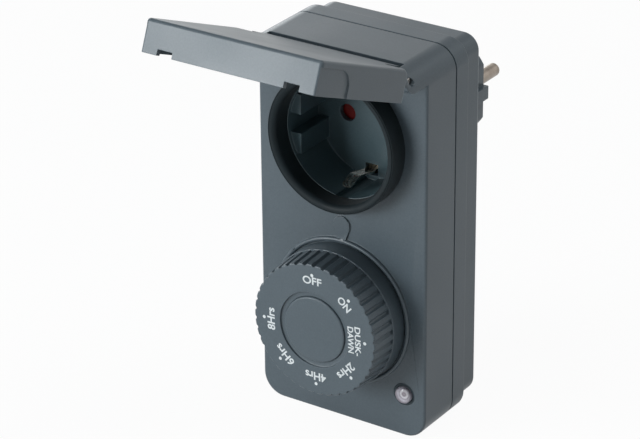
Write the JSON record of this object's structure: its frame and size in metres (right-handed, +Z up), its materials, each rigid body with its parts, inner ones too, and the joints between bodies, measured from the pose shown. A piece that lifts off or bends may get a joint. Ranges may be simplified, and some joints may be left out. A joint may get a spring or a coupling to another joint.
{
  "type": "plug-in timer switch",
  "caption": "Outdoor plug-in timer switch: earthed socket under a flip-up lid with a soft collar, ribbed rotary dial with cap, light sensor lens and an earthed plug on the back.",
  "frame": {"origin": "centre of the plug's contact face, on the plug axis midway between the two pins", "axes": "+Y points into the wall socket along the pins, +X is to the right seen from the front, +Z is up towards the lid's hinge; the front face with socket and dial looks along -Y"},
  "size_m": [0.066, 0.1464, 0.1601],
  "materials": {
    "housing_plastic": "slate-grey moulded plastic, fine satin grain",
    "lid_plastic": "slate-grey moulded plastic, satin",
    "knob_plastic": "slate-grey moulded plastic, satin, with white printed legends",
    "socket_plastic": "dark slate moulded plastic, satin",
    "soft_rubber": "black soft elastomer, matte",
    "shutter_plastic": "red moulded plastic",
    "nickel_plate": "nickel-plated brass, bright",
    "contact_brass": "bare brass strip",
    "zinc_steel": "zinc-plated steel",
    "stainless_steel": "drawn stainless steel",
    "carrier_plastic": "off-white heat-resistant thermoset",
    "lens_plastic": "translucent diffusing plastic",
    "board_laminate": "green solder mask on glass laminate",
    "relay_case": "blue relay case",
    "capacitor_case": "yellow box capacitor",
    "capacitor_sleeve": "black shrink sleeve",
    "varistor_coat": "blue epoxy dip",
    "fuse_body": "tan axial fuse body",
    "chip_resin": "black moulded resin",
    "resistor_body": "beige lacquer",
    "photocell_body": "ceramic disc with an orange track",
    "switch_plastic": "natural white acetal"
  },
  "bodies": {
    "housing": {"front_housing": "housing_plastic", "rear_housing": "housing_plastic", "socket_insert": "socket_plastic", "socket_collar": "soft_rubber", "housing_gasket": "soft_rubber", "shaft_seal": "soft_rubber", "lens_gasket": "soft_rubber", "line_pin": "nickel_plate", "neutral_pin": "nickel_plate", "socket_earth_bracket": "nickel_plate", "plug_earth_bracket": "nickel_plate", "line_contact": "contact_brass", "neutral_contact": "contact_brass", "earth_strap": "contact_brass", "neutral_strap": "contact_brass", "line_in_strap": "contact_brass", "line_out_strap": "contact_brass", "neutral_board_strap": "contact_brass", "housing_screws": "zinc_steel", "board_screws": "zinc_steel", "hinge_pin": "stainless_steel", "shutter_spring": "stainless_steel", "detent_spring": "stainless_steel", "contact_carrier": "carrier_plastic", "sensor_lens": "lens_plastic", "circuit_board": "board_laminate", "relay": "relay_case", "drop_capacitor": "capacitor_case", "smoothing_capacitor": "capacitor_sleeve", "varistor": "varistor_coat", "fuse": "fuse_body", "controller_chip": "chip_resin", "rectifier": "chip_resin", "resistors": "resistor_body", "photocell": "photocell_body", "switch_base": "switch_plastic", "switch_cover": "switch_plastic"},
    "lid": {"lid_cover": "lid_plastic", "lid_seal": "soft_rubber"},
    "dial": {"dial_knob": "knob_plastic", "knob_cap": "knob_plastic", "knob_screw": "zinc_steel", "dial_shaft": "switch_plastic", "switch_rotor": "switch_plastic"},
    "shutter": {"shutter": "shutter_plastic"}
  },
  "joints": [
    {"name": "lid_hinge", "type": "hinge", "parent": "housing", "child": "lid", "pos_m": [0, -0.0712, 0.032], "axis": [1, 0, 0], "range_deg": [0, 112.4]},
    {"name": "dial_turn", "type": "hinge", "parent": "housing", "child": "dial", "pos_m": [0, -0.0636, -0.0614], "axis": [0, -1, 0], "range_deg": [0, 270]},
    {"name": "shutter_turn", "type": "hinge", "parent": "housing", "child": "shutter", "pos_m": [0, -0.0425, 0.0025], "axis": [0, -1, 0], "range_deg": [0, 45], "stiffness_Nm_per_rad": 0.0005, "springref_deg": -28.65}
  ]
}
